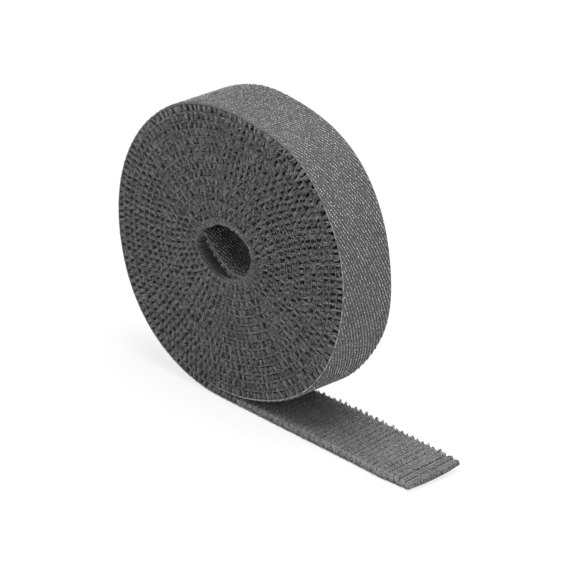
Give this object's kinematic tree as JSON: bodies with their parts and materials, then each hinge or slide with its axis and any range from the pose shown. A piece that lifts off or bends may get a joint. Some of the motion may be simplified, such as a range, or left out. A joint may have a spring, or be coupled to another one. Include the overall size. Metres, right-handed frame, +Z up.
{
  "type": "hook and loop tape roll",
  "caption": "Roll of back to back hook and loop tape on its rim: hooks outside, loops inside, a loose free end on the table and an inner end folded across the hole.",
  "frame": {"origin": "on the table face of the tape, under the roll's axis and at the middle of the tape's width", "axes": "+X along the free end, away from the roll; +Y across the tape, along the roll's axis; +Z up"},
  "size_m": [0.1156, 0.02, 0.0869],
  "materials": {
    "hook_film": "moulded grey hooks, satin",
    "loop_pile": "dark grey knitted pile in cross ribs, matt"
  },
  "bodies": {
    "floor_stretch": {"hook_floor_stretch": "hook_film", "loop_floor_stretch": "loop_pile"},
    "tail_stretch_1": {"hook_tail_stretch_1": "hook_film", "loop_tail_stretch_1": "loop_pile"},
    "tail_stretch_2": {"hook_tail_stretch_2": "hook_film", "loop_tail_stretch_2": "loop_pile"},
    "tail_stretch_3": {"hook_tail_stretch_3": "hook_film", "loop_tail_stretch_3": "loop_pile"},
    "unroll_stretch_1": {"hook_unroll_stretch_1": "hook_film", "loop_unroll_stretch_1": "loop_pile"},
    "unroll_stretch_2": {"hook_unroll_stretch_2": "hook_film", "loop_unroll_stretch_2": "loop_pile"},
    "unroll_stretch_3": {"hook_unroll_stretch_3": "hook_film", "loop_unroll_stretch_3": "loop_pile"},
    "roll": {"hook_winding": "hook_film", "loop_winding": "loop_pile"},
    "inner_flap": {"hook_inner_flap": "hook_film", "loop_inner_flap": "loop_pile"},
    "inner_tip": {"hook_inner_tip": "hook_film", "loop_inner_tip": "loop_pile"}
  },
  "joints": [
    {"name": "unroll_1", "type": "hinge", "parent": "floor_stretch", "child": "unroll_stretch_1", "pos_m": [-0.00579, 0, 0], "axis": [0, -1, 0], "range_deg": [0, 15.4]},
    {"name": "unroll_2", "type": "hinge", "parent": "unroll_stretch_1", "child": "unroll_stretch_2", "pos_m": [-0.01695, 0, 0.00309], "axis": [0, -1, 0], "range_deg": [0, 14.9]},
    {"name": "unroll_3", "type": "hinge", "parent": "unroll_stretch_2", "child": "unroll_stretch_3", "pos_m": [-0.02692, 0, 0.00895], "axis": [0, -1, 0], "range_deg": [0, 14.9]},
    {"name": "unroll_4", "type": "hinge", "parent": "unroll_stretch_3", "child": "roll", "pos_m": [-0.03501, 0, 0.01716], "axis": [0, -1, 0], "range_deg": [0, 14.9]},
    {"name": "tail_bend_1", "type": "hinge", "parent": "floor_stretch", "child": "tail_stretch_1", "pos_m": [0.03, 0, 0.00155], "axis": [0, -1, 0], "range_deg": [0, 30]},
    {"name": "tail_bend_2", "type": "hinge", "parent": "tail_stretch_1", "child": "tail_stretch_2", "pos_m": [0.044, 0, 0.00155], "axis": [0, -1, 0], "range_deg": [0, 30]},
    {"name": "tail_bend_3", "type": "hinge", "parent": "tail_stretch_2", "child": "tail_stretch_3", "pos_m": [0.058, 0, 0.00155], "axis": [0, -1, 0], "range_deg": [0, 30]},
    {"name": "fold_swing", "type": "hinge", "parent": "roll", "child": "inner_flap", "pos_m": [-0.00895, 0, 0.04714], "axis": [0, -1, 0], "range_deg": [0, 10]},
    {"name": "tip_bend", "type": "hinge", "parent": "inner_flap", "child": "inner_tip", "pos_m": [-0.00193, 0, 0.04058], "axis": [0, -1, 0], "range_deg": [0, 30]}
  ]
}
